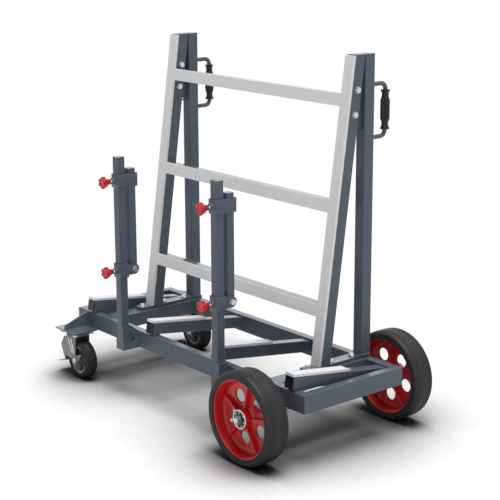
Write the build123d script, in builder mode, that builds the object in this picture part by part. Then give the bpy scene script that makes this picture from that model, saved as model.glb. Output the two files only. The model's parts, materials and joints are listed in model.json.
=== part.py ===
from build123d import *
import math
import os

# Base frame
rail_length = 1240.0
frame_width = 418.0
rail_height = 60.0
rail_thickness = 30.0
tube_wall = 3.0
tube_corner = 3.0
cross_width = 60.0
cross_height = 50.0
ride_height = 173.0

# Large wheels and their axle
wheel_diameter = 300.0
wheel_width = 83.0
wheel_gap = 60.0
axle_inset = 144.5
rim_diameter = 248.0
rim_width = 73.0
tyre_shoulder = 10.0
tyre_groove_depth = 2.0
tyre_groove_width = 4.0
tyre_groove_diameter = 274.0
barrel_thickness = 5.0
disc_thickness = 6.0
hub_diameter = 62.0
hub_recess = 8.0
rim_hole_diameter = 46.0
rim_hole_circle = 140.0
rim_hole_count = 5
rim_rib_thickness = 9.0
rim_rib_height = 40.0
front_wheel_turn = 46.0
back_wheel_turn = 52.0
axle_diameter = 25.0
axle_end_diameter = 16.0
axle_tip = 3.0
axle_washer_diameter = 28.0
axle_washer_thickness = 2.0
axle_nut_width = 24.0
axle_nut_thickness = 8.0
axle_bracket_width = 80.0
axle_bracket_thickness = 8.0
axle_bracket_margin = 10.0

# Clearances
running_clearance = 0.05
sliding_clearance = 0.3
side_play = 0.4
cut_overrun = 5.0

# Support arms
arm_count = 4
arm_width = 36.0
arm_height = 40.0
arm_slope = 7.9
arm_inset = 46.0
arm_left_inset = 75.0
arm_overhang = 9.0
arm_rise = 9.0
arm_cap_thickness = 4.0
plug_depth = 8.0
arm_rubber_thickness = 9.0
arm_rubber_length = 229.0
arm_rubber_edge = 2.0
arm_rest_margin = 2.0

# Lean frame
lean_angle = 7.9
frame_top = 1214.0
upright_width = 40.0
upright_depth = 40.0
upright_inset = 146.5
upright_left_inset = 151.5
upright_top_gap = 1.0
facing_thickness = 10.0
facing_edge = 1.5
rung_height = 40.0
rung_top_shares = (0.88, 0.54, 0.20)
strut_size = 40.0
foot_bar_thickness = 10.0
foot_bar_lead = 44.0
foot_bolt_lead = 28.0
foot_bolt_offset = 70.0
foot_bolt_strut_gap = 25.0
top_cap_thickness = 3.0
gusset_thickness = 6.0
gusset_bottom_drop = 234.0
gusset_top_drop = 64.0
gusset_rake = 25.0
gusset_bolt_drops = (105.0, 181.0)

# Handles
handle_diameter = 15.0
handle_top_drop = 96.0
handle_bottom_drop = 264.0
handle_reach = 66.0
handle_bend = 20.0
grip_length = 125.0
grip_flange_diameter = 31.0
grip_flange_length = 3.5
grip_waist_diameter = 23.0
grip_neck_length = 16.0
grip_belly_diameter = 30.0
grip_belly_length = 62.0
grip_taper_length = 7.0

# Front posts
post_size = 30.0
post_gap = 35.0
post_inset = 351.5
post_left_inset = 358.5
post_head = 43.0
post_cap_thickness = 3.0
foot_plate_thickness = 6.0
foot_plate_height = 89.0
foot_plate_flat = 27.0
foot_hole_diameter = 12.0
foot_hole_distance = 23.0
foot_hole_rise = 35.0
post_bolt_distance = 50.0
post_bolt_rise = 75.0

# Collars, clips and swing tubes
collar_wall = 4.0
upper_collar_height = 46.0
upper_collar_drop = 38.0
lower_collar_height = 50.0
pivot_height = 455.0
clip_reach = 5.0
ear_radius = 18.0
swing_size = 28.0
swing_gap = 14.0
swing_length = 364.0
swing_tail = 15.0
swing_wall = 2.5
swing_play = 0.5

# Star knobs
boss_diameter = 22.0
boss_length = 11.0
stud_diameter = 10.0
knob_gap = 6.0
knob_neck_length = 19.0
knob_neck_small = 17.0
knob_neck_large = 27.0
knob_diameter = 42.0
knob_thickness = 17.0
knob_lobes = 6
knob_lobe_diameter = 13.0
knob_edge = 2.5

# Swivel casters
bracket_length = 124.0
bracket_depth = 102.0
bracket_thickness = 6.0
bracket_gusset_thickness = 6.0
bracket_gusset_lip = 16.0
caster_yaw = -1.0
caster_trail = 35.0
caster_diameter = 140.0
caster_width = 46.0
caster_tread_edge = 8.0
caster_core_diameter = 100.0
caster_web_thickness = 10.0
caster_band_thickness = 6.0
caster_band_width = 36.0
caster_hub_diameter = 34.0
top_plate_length = 108.0
top_plate_depth = 88.0
top_plate_thickness = 4.0
race_diameter = 68.0
race_height = 10.0
kingpin_diameter = 12.0
kingpin_head_diameter = 20.0
kingpin_head_height = 6.0
crown_diameter = 72.0
crown_thickness = 5.0
leg_thickness = 4.0
leg_front = 24.0
leg_back = 36.0
leg_notch = (-2.0, 17.0)
leg_ear = (40.0, 30.0)
leg_tip = (0.0, -22.0)
leg_heel = (-27.0, -1.0)
leg_cheek = ((48.0, 74.0), (62.0, 112.0))
caster_axle_diameter = 12.0
pedal_pin_diameter = 8.0
pedal_eye_diameter = 13.0
pedal_lug_diameter = 16.0
pedal_pin_lead = 35.0
pedal_pin_drop = 21.0
pedal_thickness = 3.0
pedal_elbow = (66.0, 98.0)
pedal_knee = (41.0, 52.0)
pedal_tip = (90.0, 37.0)

# Bolts
bolt_diameter = 10.0
bolt_washer_diameter = 21.0
bolt_washer_thickness = 2.0
bolt_hexagon_width = 17.0
bolt_head_height = 6.5
bolt_tip = 2.0
caster_bolt_length_pitch = 84.0
caster_bolt_depth_pitch = 64.0

# Places that follow from the sizes
wheel_overhang = wheel_diameter / 2 - axle_inset
pedal_overhang = pedal_tip[0] - bracket_length / 2
rail_right = (rail_length + pedal_overhang - wheel_overhang) / 2
rail_left = rail_right - rail_length
front_face = -frame_width / 2
back_face = frame_width / 2
rail_bottom = ride_height
rail_top = ride_height + rail_height
rail_middle = ride_height + rail_height / 2
foot_top = rail_top + foot_bar_thickness
lean = math.radians(lean_angle)
slope = math.radians(arm_slope)
strut_front = back_face - strut_size
gusset_top = frame_top - gusset_top_drop
gusset_bottom = frame_top - gusset_bottom_drop
handle_top = frame_top - handle_top_drop
handle_bottom = frame_top - handle_bottom_drop
lean_reach = (frame_top - foot_top) * math.tan(lean)
lean_depth = (facing_thickness + upright_depth) / math.cos(lean)
face_foot = strut_front - upright_top_gap - lean_depth - lean_reach
foot_bar_front = face_foot - foot_bar_lead
foot_bolt_spots = (
    face_foot - foot_bolt_lead,
    face_foot + foot_bolt_offset,
    strut_front - foot_bolt_strut_gap,
)
arm_pitch = (rail_length - arm_inset - arm_left_inset - arm_width) / (arm_count - 1)
axle_x = rail_right - axle_inset
axle_z = wheel_diameter / 2
wheel_middle = frame_width / 2 + wheel_gap + wheel_width / 2
barrel_inner = rim_diameter / 2 - barrel_thickness
hub_length = wheel_width - 2 * hub_recess
hub_outer = wheel_middle + hub_length / 2
hub_inner = wheel_middle - hub_length / 2
upright_rights = (rail_left + upright_left_inset + upright_width, rail_right - upright_inset)
post_middles = (rail_left + post_left_inset, rail_right - post_inset)
post_back = front_face - post_gap
post_front = post_back - post_size
post_y = post_back - post_size / 2
swing_front = post_back + swing_gap
swing_y = swing_front + swing_size / 2
swing_top = pivot_height - swing_tail + swing_length
upper_collar_middle = swing_top - upper_collar_drop
post_top = swing_top + post_head
collar_bore = post_size + 2 * sliding_clearance
collar_size = collar_bore + 2 * collar_wall
collar_front = post_y - collar_size / 2
collar_back = post_y + collar_size / 2
slot_width = swing_size + 2 * swing_play
cheek_outer = slot_width / 2 + collar_wall
bolt_hole_radius = bolt_diameter / 2 + running_clearance
bracket_middle = rail_left + bracket_length / 2
leg_inner = caster_width / 2 + side_play + pedal_thickness
crown_top = rail_bottom - top_plate_thickness - race_height - sliding_clearance
pedal_pin_height = crown_top - pedal_pin_drop


def tube_section(width, depth, wall=tube_wall):
    """Hollow section with rounded outer corners, drawn in the open sketch"""
    RectangleRounded(width, depth, tube_corner)
    Rectangle(width - 2 * wall, depth - 2 * wall, mode=Mode.SUBTRACT)


def crosswise(x, y, z):
    """Plane that looks along +X, with +Y to its right and +Z up"""
    return Plane(origin=(x, y, z), x_dir=(0, 1, 0), z_dir=(1, 0, 0))


def facing_front(x, y, z):
    """Plane that looks along -Y, with +X to its right and +Z up"""
    return Plane(origin=(x, y, z), x_dir=(1, 0, 0), z_dir=(0, -1, 0))


def lean_y(z, back):
    """Y of the leaning line that runs a given depth behind the facing's front"""
    return face_foot + (z - foot_top) * math.tan(lean) + back / math.cos(lean)


def lean_point(x, along, back):
    """Point a given length up the lean frame and a given depth behind its front"""
    y = face_foot + along * math.sin(lean) + back * math.cos(lean)
    z = foot_top + along * math.cos(lean) - back * math.sin(lean)
    return (x, y, z)


def arm_point(x, along, up):
    """Point along a support arm's underside and square up from it"""
    y = front_face - arm_overhang + along * math.cos(slope) + up * math.sin(slope)
    z = rail_top + arm_rise - along * math.sin(slope) + up * math.cos(slope)
    return (x, y, z)


def arm_middle(index):
    """X of a support arm's middle, counted from the right"""
    return rail_right - arm_inset - arm_width / 2 - index * arm_pitch


def long_rail(side):
    """Front or back rail, mitred at both ends"""
    outer = side * frame_width / 2
    inner = outer - side * rail_thickness
    with BuildPart() as rail:
        with BuildSketch(crosswise(rail_left, (outer + inner) / 2, rail_middle)):
            tube_section(rail_thickness, rail_height)
        extrude(amount=rail_length)
        with BuildSketch(Plane.XY.offset(rail_bottom)):
            with BuildLine():
                Polyline(
                    (rail_left, outer),
                    (rail_right, outer),
                    (rail_right - rail_thickness, inner),
                    (rail_left + rail_thickness, inner),
                    close=True,
                )
            make_face()
        extrude(amount=rail_height, mode=Mode.INTERSECT)
    return rail.part


def end_rail(outer, side):
    """Left or right end rail, mitred into the long rails"""
    inner = outer - side * rail_thickness
    with BuildPart() as rail:
        with BuildSketch(facing_front((outer + inner) / 2, back_face, rail_middle)):
            tube_section(rail_thickness, rail_height)
        extrude(amount=frame_width)
        with BuildSketch(Plane.XY.offset(rail_bottom)):
            with BuildLine():
                Polyline(
                    (outer, front_face),
                    (outer, back_face),
                    (inner, back_face - rail_thickness),
                    (inner, front_face + rail_thickness),
                    close=True,
                )
            make_face()
        extrude(amount=rail_height, mode=Mode.INTERSECT)
    return rail.part


def cross_members():
    """Two tubes between the long rails, one under each foot of the lean frame"""
    middle = rail_top - cross_height / 2
    with BuildPart() as members:
        for right in upright_rights:
            x = right - upright_width / 2
            with BuildSketch(facing_front(x, back_face - rail_thickness, middle)):
                tube_section(cross_width, cross_height)
            extrude(amount=frame_width - 2 * rail_thickness)
            with BuildSketch(Plane.XY.offset(rail_top - tube_wall)):
                for spot in foot_bolt_spots:
                    with Locations((right - strut_size / 2, spot)):
                        Circle(bolt_hole_radius)
            extrude(amount=tube_wall, mode=Mode.SUBTRACT)
    return members.part


def foot_bars():
    """Flat bars that carry the lean frame's feet"""
    length = back_face - foot_bar_front
    with BuildPart() as bars:
        for right in upright_rights:
            x = right - strut_size / 2
            with BuildSketch(Plane.XY.offset(rail_top)):
                with Locations((x, back_face - length / 2)):
                    Rectangle(strut_size, length)
                for spot in foot_bolt_spots:
                    with Locations((x, spot)):
                        Circle(bolt_hole_radius, mode=Mode.SUBTRACT)
            extrude(amount=foot_bar_thickness)
    return bars.part


def arm_direction(index, along, up):
    """Plane across a support arm that looks down its slope"""
    direction = (0, math.cos(slope), -math.sin(slope))
    return Plane(origin=arm_point(arm_middle(index), along, up), x_dir=(1, 0, 0), z_dir=direction)


def support_arm(index):
    """Sloping tube from over the front rail to the back rail's inner face"""
    with BuildPart() as arm:
        with BuildSketch(arm_direction(index, arm_cap_thickness, arm_height / 2)):
            tube_section(arm_width, arm_height)
        extrude(amount=frame_width + arm_overhang)
        back_plane = Plane(origin=(0, back_face - rail_thickness, 0), z_dir=(0, 1, 0))
        split(bisect_by=back_plane, keep=Keep.BOTTOM)
    return arm.part


def arm_rubbers():
    """Rubber strip on the top of each support arm"""
    with BuildPart() as rubbers:
        for index in range(arm_count):
            place = arm_direction(index, 0, arm_height + arm_rubber_thickness / 2)
            with BuildSketch(place) as section:
                Rectangle(arm_width, arm_rubber_thickness)
                fillet(section.vertices().group_by(Axis.Y)[0], arm_rubber_edge)
            extrude(amount=arm_rubber_length)
    return rubbers.part


def arm_end_caps():
    """Black cap with a plug in the front end of each support arm"""
    bore_width = arm_width - 2 * tube_wall
    bore_height = arm_height - 2 * tube_wall
    with BuildPart() as caps:
        for index in range(arm_count):
            with BuildSketch(arm_direction(index, 0, arm_height / 2)):
                RectangleRounded(arm_width, arm_height, tube_corner)
            extrude(amount=arm_cap_thickness)
            with BuildSketch(arm_direction(index, arm_cap_thickness, arm_height / 2)):
                Rectangle(bore_width, bore_height)
            extrude(amount=plug_depth)
    return caps.part


def arm_rests():
    """Wedge between the front rail's top and each support arm's underside"""
    near = front_face + arm_rest_margin + tube_corner
    far = front_face + rail_thickness - arm_rest_margin - tube_corner
    near_top = rail_top + arm_rise - (near - front_face + arm_overhang) * math.tan(slope)
    far_top = rail_top + arm_rise - (far - front_face + arm_overhang) * math.tan(slope)
    width = arm_width - 2 * tube_corner
    with BuildPart() as rests:
        for index in range(arm_count):
            with BuildSketch(crosswise(arm_middle(index) - width / 2, 0, 0)):
                with BuildLine():
                    Polyline((near, rail_top), (far, rail_top), (far, far_top), (near, near_top), close=True)
                make_face()
            extrude(amount=width)
    return rests.part


def leaning_bar(right, front, depth, hollow):
    """Leaning upright or facing, cut level at its foot and at its top"""
    direction = (0, math.sin(lean), math.cos(lean))
    length = (frame_top - foot_top) / math.cos(lean) + 2 * upright_width
    start = lean_point(right - upright_width / 2, -upright_width, front + depth / 2)
    with BuildPart() as bar:
        with BuildSketch(Plane(origin=start, x_dir=(1, 0, 0), z_dir=direction)):
            if hollow:
                tube_section(upright_width, depth)
            else:
                RectangleRounded(upright_width, depth, facing_edge)
        extrude(amount=length)
        split(bisect_by=Plane.XY.offset(foot_top), keep=Keep.TOP)
        split(bisect_by=Plane.XY.offset(frame_top), keep=Keep.BOTTOM)
    return bar.part


def gusset_corners(spread):
    """Side outline of a gusset plate, grown by a clearance"""
    low = gusset_bottom - spread
    high = gusset_top + spread
    front_low = low + gusset_rake
    inside = facing_thickness + tube_wall + side_play
    return [
        (strut_front, low),
        (strut_front, high),
        (lean_y(high, inside), high),
        (lean_y(front_low, inside), front_low),
    ]


def gusset_bolt_places():
    """Y and Z of the bolts that hold each upright to its gusset plate"""
    middle = facing_thickness + upright_depth / 2
    heights = [frame_top - drop for drop in gusset_bolt_drops]
    return [(lean_y(height, middle), height) for height in heights]


def upright(right):
    """Leaning tube with a slot in its back for the gusset plate"""
    middle = right - upright_width / 2
    slot = gusset_thickness + 2 * sliding_clearance
    with BuildPart() as tube:
        add(leaning_bar(right, facing_thickness, upright_depth, True))
        with BuildSketch(crosswise(middle - slot / 2, 0, 0)):
            with BuildLine():
                Polyline(*gusset_corners(sliding_clearance), close=True)
            make_face()
        extrude(amount=slot, mode=Mode.SUBTRACT)
        with BuildSketch(crosswise(right - upright_width, 0, 0)):
            with Locations(*gusset_bolt_places()):
                Circle(bolt_hole_radius)
        extrude(amount=upright_width, mode=Mode.SUBTRACT)
    return tube.part


def upright_facings():
    """Rubber strip on the front of each leaning upright"""
    with BuildPart() as facings:
        for right in upright_rights:
            add(leaning_bar(right, 0, facing_thickness, False))
    return facings.part


def rung_bars(front, depth, hollow):
    """Three bars between the leaning uprights"""
    face_length = (frame_top - foot_top) / math.cos(lean)
    span = upright_rights[1] - upright_width - upright_rights[0]
    back_direction = (0, math.cos(lean), -math.sin(lean))
    with BuildPart() as bars:
        for share in rung_top_shares:
            along = share * face_length - rung_height / 2
            start = lean_point(upright_rights[0], along, front + depth / 2)
            with BuildSketch(Plane(origin=start, x_dir=back_direction, z_dir=(1, 0, 0))):
                if hollow:
                    tube_section(depth, rung_height)
                else:
                    RectangleRounded(depth, rung_height, facing_edge)
            extrude(amount=span)
    return bars.part


def gusset_plates():
    """Plates that join each leaning upright to the strut behind it"""
    with BuildPart() as plates:
        for right in upright_rights:
            start = right - upright_width / 2 - gusset_thickness / 2
            with BuildSketch(crosswise(start, 0, 0)):
                with BuildLine():
                    Polyline(*gusset_corners(0), close=True)
                make_face()
                with Locations(*gusset_bolt_places()):
                    Circle(bolt_hole_radius, mode=Mode.SUBTRACT)
            extrude(amount=gusset_thickness)
    return plates.part


def strut(right):
    """Vertical tube behind a leaning upright"""
    with BuildPart() as tube:
        with BuildSketch(Plane(origin=(right - strut_size / 2, back_face - strut_size / 2, foot_top))):
            tube_section(strut_size, strut_size)
        extrude(amount=frame_top - foot_top)
    return tube.part


def top_caps():
    """Plate over the top ends of each upright and its strut"""
    front = lean_y(frame_top, facing_thickness)
    length = back_face - front
    with BuildPart() as caps:
        for right in upright_rights:
            with BuildSketch(Plane.XY.offset(frame_top)):
                with Locations((right - upright_width / 2, front + length / 2)):
                    Rectangle(upright_width, length)
            extrude(amount=top_cap_thickness)
    return caps.part


def handles():
    """Bent round bars on the backs of the struts"""
    reach = back_face + handle_reach
    with BuildPart() as bars:
        for right in upright_rights:
            x = right - strut_size / 2
            with BuildLine():
                FilletPolyline(
                    (x, back_face, handle_top),
                    (x, reach, handle_top),
                    (x, reach, handle_bottom),
                    (x, back_face, handle_bottom),
                    radius=handle_bend,
                )
            with BuildSketch(Plane(origin=(x, back_face, handle_top), z_dir=(0, 1, 0))):
                Circle(handle_diameter / 2)
            sweep()
    return bars.part


def grips():
    """Moulded grip with flared ends and a thicker middle on each handle"""
    half = grip_length / 2
    flange_end = half - grip_flange_length
    neck_end = flange_end - grip_neck_length
    belly_end = grip_belly_length / 2
    rim = grip_flange_diameter / 2
    waist = grip_waist_diameter / 2
    belly = grip_belly_diameter / 2
    side = [
        (rim, half),
        (rim, flange_end),
        (waist, flange_end - grip_taper_length),
        (waist, neck_end + grip_taper_length),
        (belly, belly_end),
    ]
    outline = [(handle_diameter / 2, half)] + side
    outline += [(radius, -height) for radius, height in reversed(side)] + [(handle_diameter / 2, -half)]
    middle = (handle_top + handle_bottom) / 2
    with BuildPart() as mouldings:
        for right in upright_rights:
            x = right - strut_size / 2
            place = facing_front(x, back_face + handle_reach, middle)
            with BuildSketch(place):
                with BuildLine():
                    Polyline(*outline, close=True)
                make_face()
            revolve(axis=Axis(place.origin, (0, 0, 1)))
    return mouldings.part


def headed_bolt(face, depth):
    """Bolt with a washer under its head, which stands on the given plane"""
    with BuildPart() as bolt:
        with BuildSketch(face.offset(-depth)):
            Circle(bolt_diameter / 2)
        extrude(amount=depth)
        with BuildSketch(face):
            Circle(bolt_washer_diameter / 2)
        extrude(amount=bolt_washer_thickness)
        with BuildSketch(face.offset(bolt_washer_thickness)):
            RegularPolygon(bolt_hexagon_width / math.sqrt(3), 6)
        extrude(amount=bolt_head_height)
    return bolt.part


def through_bolt(face, grip):
    """Headed bolt with a washer and a nut on the far side of what it clamps"""
    washer = -grip - bolt_washer_thickness
    with BuildPart() as bolt:
        add(headed_bolt(face, bolt_head_height + bolt_tip - washer))
        with BuildSketch(face.offset(washer)):
            Circle(bolt_washer_diameter / 2)
        extrude(amount=bolt_washer_thickness)
        with BuildSketch(face.offset(washer - bolt_head_height)):
            RegularPolygon(bolt_hexagon_width / math.sqrt(3), 6)
        extrude(amount=bolt_head_height)
    return bolt.part


def frame_bolts():
    """Bolts of the gusset plates, the foot bars, the caster plates and the post feet"""
    with BuildPart() as bolts:
        for right in upright_rights:
            for y, z in gusset_bolt_places():
                add(through_bolt(crosswise(right, y, z), upright_width))
            for spot in foot_bolt_spots:
                place = Plane(origin=(right - strut_size / 2, spot, foot_top))
                add(through_bolt(place, foot_bar_thickness + tube_wall))
        for side in (-1, 1):
            y = side * (frame_width + bracket_depth) / 2
            centre = (bracket_middle, y, rail_bottom - top_plate_thickness)
            under = Plane(origin=centre, x_dir=(1, 0, 0), z_dir=(0, 0, -1))
            with GridLocations(caster_bolt_length_pitch, caster_bolt_depth_pitch, 2, 2) as grid:
                places = [under * spot for spot in grid.local_locations]
            for place in places:
                add(headed_bolt(Plane(place), bracket_thickness + top_plate_thickness))
        for middle in post_middles:
            side = middle - post_size / 2 - foot_plate_thickness
            spot = (side, front_face - post_bolt_distance, rail_bottom + post_bolt_rise)
            place = Plane(origin=spot, x_dir=(0, -1, 0), z_dir=(-1, 0, 0))
            add(headed_bolt(place, foot_plate_thickness + tube_wall))
    return bolts.part


def foot_plates():
    """Two plates beside each post's foot, welded to the front rail, one of them bolted"""
    with BuildPart() as plates:
        for middle in post_middles:
            bolted = middle - post_size / 2 - foot_plate_thickness
            for start in (bolted, middle + post_size / 2):
                with BuildSketch(crosswise(start, 0, 0)):
                    with BuildLine():
                        Polyline(
                            (post_front, rail_bottom),
                            (front_face, rail_bottom),
                            (front_face, rail_top),
                            (post_front + foot_plate_flat, rail_bottom + foot_plate_height),
                            (post_front, rail_bottom + foot_plate_height),
                            close=True,
                        )
                    make_face()
                    with Locations((front_face - foot_hole_distance, rail_bottom + foot_hole_rise)):
                        Circle(foot_hole_diameter / 2, mode=Mode.SUBTRACT)
                    if start == bolted:
                        with Locations((front_face - post_bolt_distance, rail_bottom + post_bolt_rise)):
                            Circle(bolt_hole_radius, mode=Mode.SUBTRACT)
                extrude(amount=foot_plate_thickness)
    return plates.part


def post(middle):
    """Square front post, which stands between its foot plates"""
    top = post_top - post_cap_thickness
    with BuildPart() as tube:
        with BuildSketch(Plane(origin=(middle, post_y, rail_bottom))):
            tube_section(post_size, post_size)
        extrude(amount=top - rail_bottom)
        bolt_y = front_face - post_bolt_distance
        with BuildSketch(crosswise(middle - post_size / 2, bolt_y, rail_bottom + post_bolt_rise)):
            Circle(bolt_hole_radius)
        extrude(amount=tube_wall, mode=Mode.SUBTRACT)
    return tube.part


def post_caps():
    """Cap with a plug in the top of each post"""
    top = post_top - post_cap_thickness
    bore = post_size - 2 * tube_wall
    with BuildPart() as caps:
        for middle in post_middles:
            with BuildSketch(Plane(origin=(middle, post_y, top))):
                RectangleRounded(post_size, post_size, tube_corner)
            extrude(amount=post_cap_thickness)
            with BuildSketch(Plane(origin=(middle, post_y, top - plug_depth))):
                Rectangle(bore, bore)
            extrude(amount=plug_depth)
    return caps.part


def collar_sleeve(middle, height_middle, height):
    """Square sleeve round a post with a threaded boss on its front"""
    stud_hole = stud_diameter / 2 + running_clearance
    with BuildPart() as sleeve:
        with BuildSketch(Plane(origin=(middle, post_y, height_middle - height / 2))):
            RectangleRounded(collar_size, collar_size, tube_corner)
        extrude(amount=height)
        with BuildSketch(facing_front(middle, collar_front, height_middle)):
            Circle(boss_diameter / 2)
        extrude(amount=boss_length)
        with BuildSketch(Plane(origin=(middle, post_y, height_middle - height / 2))):
            Rectangle(collar_bore, collar_bore)
        extrude(amount=height, mode=Mode.SUBTRACT)
        with BuildSketch(facing_front(middle, post_front, height_middle)):
            Circle(stud_hole)
        extrude(amount=collar_wall + boss_length + cut_overrun, mode=Mode.SUBTRACT)
    return sleeve.part


def upper_collar(middle):
    """Sleeve with two cheeks that hold the swing tube's upper end, open to the back"""
    clip_back = swing_front + swing_size + clip_reach
    with BuildPart() as collar:
        add(collar_sleeve(middle, upper_collar_middle, upper_collar_height))
        with BuildSketch(Plane.XY.offset(upper_collar_middle - upper_collar_height / 2)):
            for start in (middle - cheek_outer, middle + slot_width / 2):
                with Locations((start + collar_wall / 2, (collar_back + clip_back) / 2)):
                    Rectangle(collar_wall, clip_back - collar_back)
        extrude(amount=upper_collar_height)
    return collar.part


def lower_collar(middle):
    """Sleeve with two round-ended ears that carry the swing tube's pivot"""
    with BuildPart() as collar:
        add(collar_sleeve(middle, pivot_height, lower_collar_height))
        for start in (middle - cheek_outer, middle + slot_width / 2):
            with BuildSketch(crosswise(start, swing_y, pivot_height)):
                Circle(ear_radius)
                with Locations((-(swing_y - collar_back) / 2, 0)):
                    Rectangle(swing_y - collar_back, 2 * ear_radius)
                Circle(bolt_hole_radius, mode=Mode.SUBTRACT)
            extrude(amount=collar_wall)
    return collar.part


def swing_tube(middle):
    """Square tube that hangs in the lower collar's ears, closed at its top"""
    bottom = pivot_height - swing_tail
    with BuildPart() as tube:
        with BuildSketch(Plane(origin=(middle, swing_y, bottom))):
            RectangleRounded(swing_size, swing_size, tube_corner)
        extrude(amount=swing_length)
        with BuildSketch(Plane(origin=(middle, swing_y, bottom))):
            Rectangle(swing_size - 2 * swing_wall, swing_size - 2 * swing_wall)
        extrude(amount=swing_length - swing_wall, mode=Mode.SUBTRACT)
        with BuildSketch(crosswise(middle - swing_size / 2, swing_y, pivot_height)):
            Circle(bolt_hole_radius)
        extrude(amount=swing_size, mode=Mode.SUBTRACT)
    return tube.part


def pivot_bolt(middle):
    """Bolt through the ears and the swing tube"""
    place = crosswise(middle + cheek_outer, swing_y, pivot_height)
    with BuildPart() as bolt:
        add(through_bolt(place, 2 * cheek_outer))
    return bolt.part


def star_knob(middle, height):
    """Lobed knob with a tapered neck, moulded on its threaded stud"""
    neck_start = collar_front - boss_length - knob_gap
    head_start = neck_start - knob_neck_length
    stud_end = post_front - sliding_clearance
    lobe = knob_lobe_diameter / 2
    with BuildPart() as knob:
        with BuildSketch(facing_front(middle, head_start, height)):
            Circle(knob_diameter / 2 - lobe)
            with PolarLocations(knob_diameter / 2 - lobe, knob_lobes):
                Circle(lobe)
        extrude(amount=knob_thickness)
        chamfer(knob.faces().sort_by(Axis.Y)[0].edges(), knob_edge)
        place = crosswise(middle, 0, height)
        with BuildSketch(place):
            with BuildLine():
                Polyline(
                    (stud_end, 0),
                    (stud_end, stud_diameter / 2),
                    (neck_start, stud_diameter / 2),
                    (neck_start, knob_neck_small / 2),
                    (head_start, knob_neck_large / 2),
                    (head_start - knob_thickness / 2, knob_neck_large / 2),
                    (head_start - knob_thickness / 2, 0),
                    close=True,
                )
            make_face()
        revolve(axis=Axis(place.origin, (0, 1, 0)))
    return knob.part


def wheel_plane(side):
    """Plane through a large wheel's axle, with +Y to its right and +Z up"""
    return crosswise(axle_x, side * wheel_middle, axle_z)


def wheel_face(side):
    """Plane across a large wheel's middle, seen from the front"""
    return facing_front(axle_x, side * wheel_middle, axle_z)


def tyre(side):
    """Solid tyre with rounded shoulders and a groove in each side"""
    depth = (wheel_diameter - rim_diameter) / 2
    with BuildPart() as ring:
        with BuildSketch(wheel_plane(side)) as section:
            with Locations((0, rim_diameter / 2 + depth / 2)):
                Rectangle(wheel_width, depth)
            fillet(section.vertices().group_by(Axis.Y)[-1], tyre_shoulder)
            with Locations(
                (-wheel_width / 2, tyre_groove_diameter / 2),
                (wheel_width / 2, tyre_groove_diameter / 2),
            ):
                Rectangle(2 * tyre_groove_depth, tyre_groove_width, mode=Mode.SUBTRACT)
        revolve(axis=Axis(wheel_plane(side).origin, (0, 1, 0)))
    return ring.part


def rim_barrel(side):
    """Ring that the tyre sits on"""
    with BuildPart() as barrel:
        with BuildSketch(wheel_plane(side)):
            with Locations((0, barrel_inner + barrel_thickness / 2)):
                Rectangle(rim_width, barrel_thickness)
        revolve(axis=Axis(wheel_plane(side).origin, (0, 1, 0)))
    return barrel.part


def rim_disc(side, turn):
    """Disc inside the barrel with round holes, ribs between them and a hub"""
    hub = hub_diameter / 2
    bore = axle_end_diameter / 2 + running_clearance
    with BuildPart() as disc:
        with BuildSketch(wheel_face(side)):
            Circle(barrel_inner)
            with PolarLocations(rim_hole_circle / 2, rim_hole_count, start_angle=turn):
                Circle(rim_hole_diameter / 2, mode=Mode.SUBTRACT)
        extrude(amount=disc_thickness / 2, both=True)
        with BuildSketch(wheel_face(side)):
            with PolarLocations(barrel_inner / 2, rim_hole_count, start_angle=turn + 180 / rim_hole_count):
                Rectangle(barrel_inner, rim_rib_thickness)
        extrude(amount=rim_rib_height / 2, both=True)
        with BuildSketch(wheel_face(side)):
            Circle(hub)
        extrude(amount=hub_length / 2, both=True)
        with BuildSketch(wheel_face(side)):
            Circle(barrel_inner)
        extrude(amount=hub_length / 2, both=True, mode=Mode.INTERSECT)
        with BuildSketch(wheel_face(side)):
            Circle(bore)
        extrude(amount=hub_length / 2, both=True, mode=Mode.SUBTRACT)
    return disc.part


def rim(side, turn):
    """Rim of a large wheel: its barrel and the disc that is welded into it"""
    return Compound([rim_barrel(side).solid(), rim_disc(side, turn).solid()])


def axle():
    """Stepped axle that runs through both brackets and both wheels"""
    middle_length = 2 * (hub_inner - side_play)
    end = hub_outer + side_play + axle_washer_thickness + axle_nut_thickness + axle_tip
    with BuildPart() as shaft:
        with BuildSketch(facing_front(axle_x, end, axle_z)):
            Circle(axle_end_diameter / 2)
        extrude(amount=2 * end)
        with BuildSketch(facing_front(axle_x, middle_length / 2, axle_z)):
            Circle(axle_diameter / 2)
        extrude(amount=middle_length)
    return shaft.part


def axle_brackets():
    """Plates that hang the axle under the long rails"""
    radius = axle_diameter / 2 + axle_bracket_margin
    with BuildPart() as brackets:
        for side in (-1, 1):
            y = side * (frame_width - rail_thickness) / 2 + axle_bracket_thickness / 2
            with BuildSketch(facing_front(axle_x, y, axle_z)):
                with BuildLine():
                    Polyline(
                        (-axle_bracket_width / 2, rail_bottom - axle_z),
                        (axle_bracket_width / 2, rail_bottom - axle_z),
                        (radius, 0),
                        (-radius, 0),
                        close=True,
                    )
                make_face()
                Circle(radius)
                Circle(axle_diameter / 2 + running_clearance, mode=Mode.SUBTRACT)
            extrude(amount=axle_bracket_thickness)
    return brackets.part


def axle_nuts():
    """Washer and nut at each end of the axle"""
    hexagon = axle_nut_width / math.sqrt(3)
    with BuildPart() as nuts:
        for side in (-1, 1):
            start = side * (hub_outer + side_play)
            outward = Plane(origin=(axle_x, start, axle_z), z_dir=(0, side, 0))
            with BuildSketch(outward):
                Circle(axle_washer_diameter / 2)
                Circle(axle_end_diameter / 2, mode=Mode.SUBTRACT)
            extrude(amount=axle_washer_thickness)
            with BuildSketch(outward.offset(axle_washer_thickness)):
                RegularPolygon(hexagon, 6)
                Circle(axle_end_diameter / 2, mode=Mode.SUBTRACT)
            extrude(amount=axle_nut_thickness)
    return nuts.part


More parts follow.
